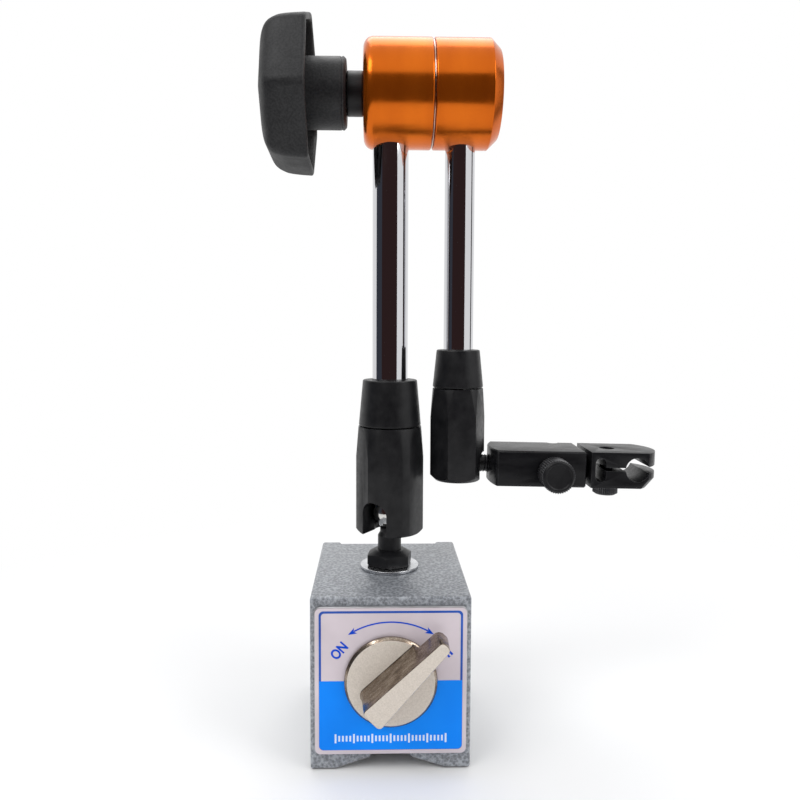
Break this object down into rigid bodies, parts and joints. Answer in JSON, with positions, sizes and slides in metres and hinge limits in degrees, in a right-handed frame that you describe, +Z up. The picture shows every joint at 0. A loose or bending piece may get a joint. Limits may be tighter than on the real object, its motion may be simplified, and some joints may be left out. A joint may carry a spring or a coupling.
{
  "type": "magnetic holder for a dial indicator",
  "caption": "Magnetic indicator holder: block base with a lever switch, locking double arm with an elbow and star knob, ball ends, and a clamp head with fine adjustment.",
  "frame": {"origin": "middle of the footprint of the whole holder, on the surface that it stands on", "axes": "+Z up, -Y the side with the switch lever, +X the side that the clamp head points to"},
  "size_m": [0.1337, 0.076, 0.2412],
  "materials": {
    "hammertone": "grey hammertone enamel",
    "alloy": "plain machined",
    "iron": "machined soft iron",
    "magnet": "ground magnet alloy",
    "label": "printed satin foil, silver over blue",
    "nickel": "warm nickel plated casting",
    "zinc": "bright zinc plate",
    "black_steel": "satin black oxide",
    "black_alloy": "satin black anodised",
    "bright_steel": "ground and polished",
    "chrome": "hard chrome, mirror bright",
    "orange_alloy": "orange anodised, fine turned",
    "black_plastic": "moulded with a fine grain",
    "brass": "turned"
  },
  "bodies": {
    "base": {"pole_left": "hammertone", "pole_right": "hammertone", "pole_spacer_top": "hammertone", "pole_spacer_bottom": "alloy", "tie_pin_front": "zinc", "tie_pin_rear": "zinc", "front_cover": "alloy", "label_plate": "label", "rear_cover": "hammertone", "front_bush": "brass", "rear_bush": "brass", "stop_pin": "zinc", "stud_washer": "zinc", "ball_stud": "black_steel", "cover_screw_top_left": "zinc", "cover_screw_top_right": "zinc", "cover_screw_bottom_left": "zinc", "cover_screw_bottom_right": "zinc", "rear_screw_top_left": "zinc", "rear_screw_top_right": "zinc", "rear_screw_bottom_left": "zinc", "rear_screw_bottom_right": "zinc"},
    "switch": {"rotor_magnet": "magnet", "rotor_segment_upper": "iron", "rotor_segment_lower": "iron", "rotor_rear_cap": "iron", "switch_shaft": "iron", "switch_dial": "nickel"},
    "main_swivel_ball": {"main_ball": "bright_steel"},
    "main_arm": {"main_socket": "black_steel", "main_socket_cap": "black_steel", "main_rod": "chrome", "elbow_left": "orange_alloy", "elbow_washer": "bright_steel", "knob_collar": "black_steel", "main_push_rod": "bright_steel", "main_thrust_cup": "brass"},
    "lock_bar": {"drawbar": "black_steel", "left_wedge": "black_steel", "right_wedge": "black_steel", "nut_washer": "zinc", "drawbar_nut": "zinc"},
    "lock_knob": {"knob": "black_plastic", "knob_insert": "brass"},
    "second_arm": {"elbow_right": "orange_alloy", "second_rod": "chrome", "second_socket": "black_steel", "second_socket_cap": "black_steel", "second_push_rod": "bright_steel", "second_thrust_cup": "brass"},
    "second_swivel_ball": {"second_ball": "bright_steel"},
    "clamp_head": {"clamp_stud": "black_steel", "adjust_block": "black_alloy", "pivot_pin": "zinc", "return_spring": "zinc"},
    "fine_screw": {"adjust_screw": "black_steel"},
    "stem_jaw": {"jaw": "black_alloy"},
    "stem_screw": {"clamp_screw": "black_steel"}
  },
  "joints": [
    {"name": "switch_turn", "type": "hinge", "parent": "base", "child": "switch", "pos_m": [-0.02399, -0.02205, 0.0295], "axis": [0, -1, 0], "range_deg": [0, 90]},
    {"name": "main_swivel", "type": "hinge", "parent": "base", "child": "main_swivel_ball", "pos_m": [-0.02399, 0.00795, 0.0745], "axis": [0, 0, 1], "continuous": true},
    {"name": "main_tilt", "type": "hinge", "parent": "main_swivel_ball", "child": "main_arm", "pos_m": [-0.02399, 0.00795, 0.0745], "axis": [0.8387, -0.5446, 0], "range_deg": [0, 90]},
    {"name": "elbow_turn", "type": "hinge", "parent": "main_arm", "child": "second_arm", "pos_m": [-0.01029, 0.00795, 0.2146], "axis": [1, 0, 0], "continuous": true},
    {"name": "knob_turn", "type": "hinge", "parent": "main_arm", "child": "lock_knob", "pos_m": [-0.04999, 0.00795, 0.2146], "axis": [-1, 0, 0], "range_deg": [0, 360]},
    {"name": "drawbar_slide", "type": "slide", "parent": "main_arm", "child": "lock_bar", "axis": [1, 0, 0], "range_m": [0, 0.0015]},
    {"name": "second_tilt", "type": "hinge", "parent": "second_arm", "child": "second_swivel_ball", "pos_m": [-0.00084, 0.00795, 0.0914], "axis": [0, 1, 0], "range_deg": [0, 50]},
    {"name": "head_spin", "type": "hinge", "parent": "second_swivel_ball", "child": "clamp_head", "pos_m": [-0.00084, 0.00795, 0.0914], "axis": [0.9998, 0, -0.0209], "continuous": true},
    {"name": "adjust_turn", "type": "hinge", "parent": "clamp_head", "child": "fine_screw", "pos_m": [0.03023, -0.00405, 0.08975], "axis": [0, 1, 0], "range_deg": [-230, 230]},
    {"name": "jaw_swing", "type": "hinge", "parent": "clamp_head", "child": "stem_jaw", "pos_m": [0.03765, 0.00795, 0.09059], "axis": [0.0209, 0, 0.9998], "range_deg": [-2.6, 2.6]},
    {"name": "clamp_turn", "type": "hinge", "parent": "stem_jaw", "child": "stem_screw", "pos_m": [0.05058, 0.00795, 0.08232], "axis": [0.0209, 0, 0.9998], "range_deg": [0, 360]}
  ],
  "couplings": [
    {"joint": "knob_turn", "follows": "drawbar_slide", "rad_per_m": 4188.7},
    {"joint": "jaw_swing", "follows": "adjust_turn", "ratio": -0.01087}
  ]
}
